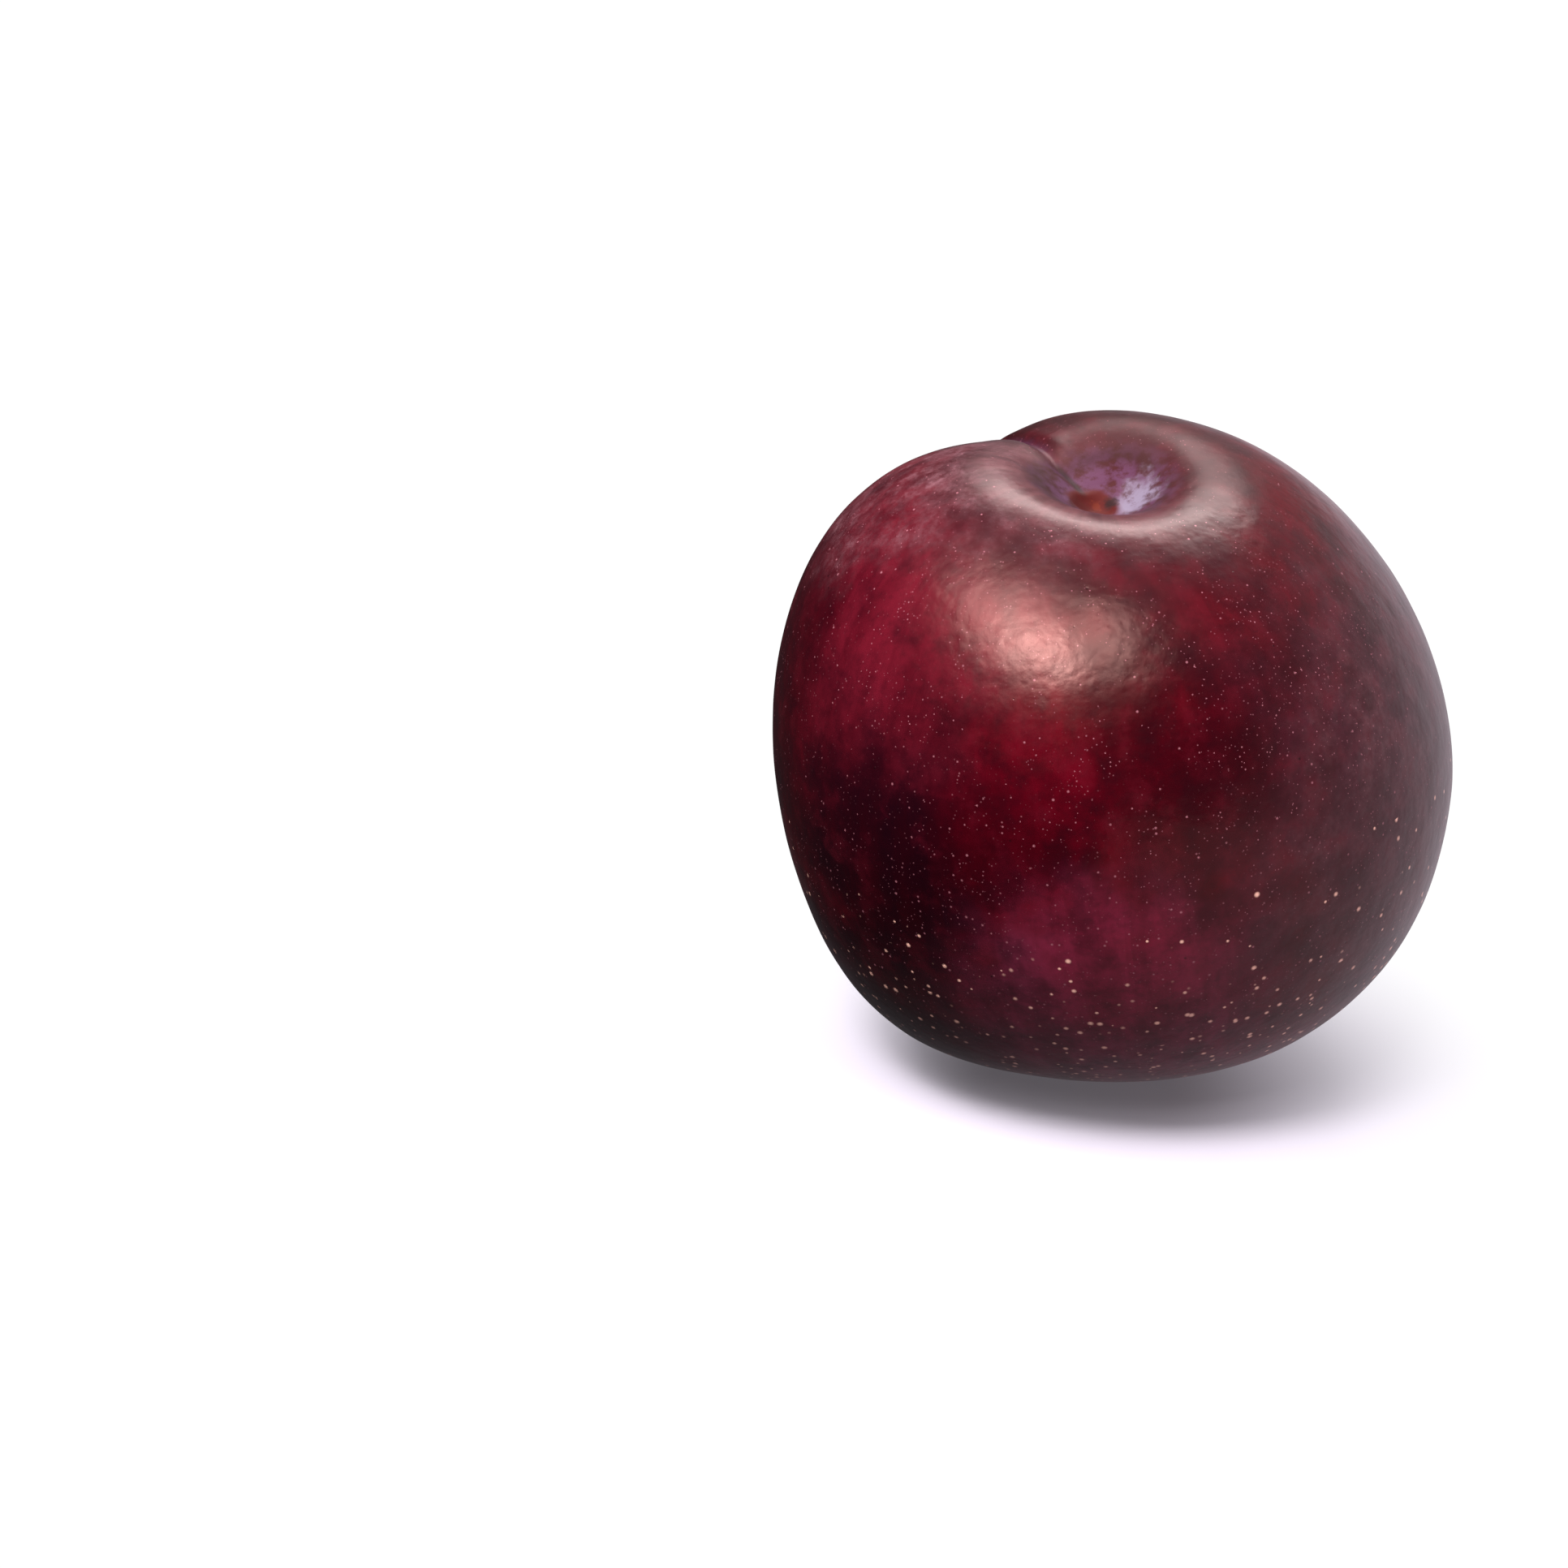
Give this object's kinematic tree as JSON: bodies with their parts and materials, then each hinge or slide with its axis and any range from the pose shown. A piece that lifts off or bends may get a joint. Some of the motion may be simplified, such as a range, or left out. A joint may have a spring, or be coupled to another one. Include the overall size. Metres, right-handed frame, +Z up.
{
  "type": "plum",
  "caption": "Ripe dark-skinned plum, picked without its stem: a slightly lopsided globe with a stem cavity on top, a suture down its back left, and a small flat spot to rest on.",
  "frame": {"origin": "on the surface that the plum rests on, below the middle of the plum's outline seen from above", "axes": "+Z up; the front faces -Y and +X is to its right. The plum's own axis, from blossom end to stem end, leans 2 degrees towards the front and 6 degrees to the left of +Z; the suture is at the back left"},
  "size_m": [0.062, 0.062, 0.0584],
  "materials": {
    "plum_skin": "satin"
  },
  "bodies": {
    "root": {"plum": "plum_skin"}
  },
  "joints": []
}
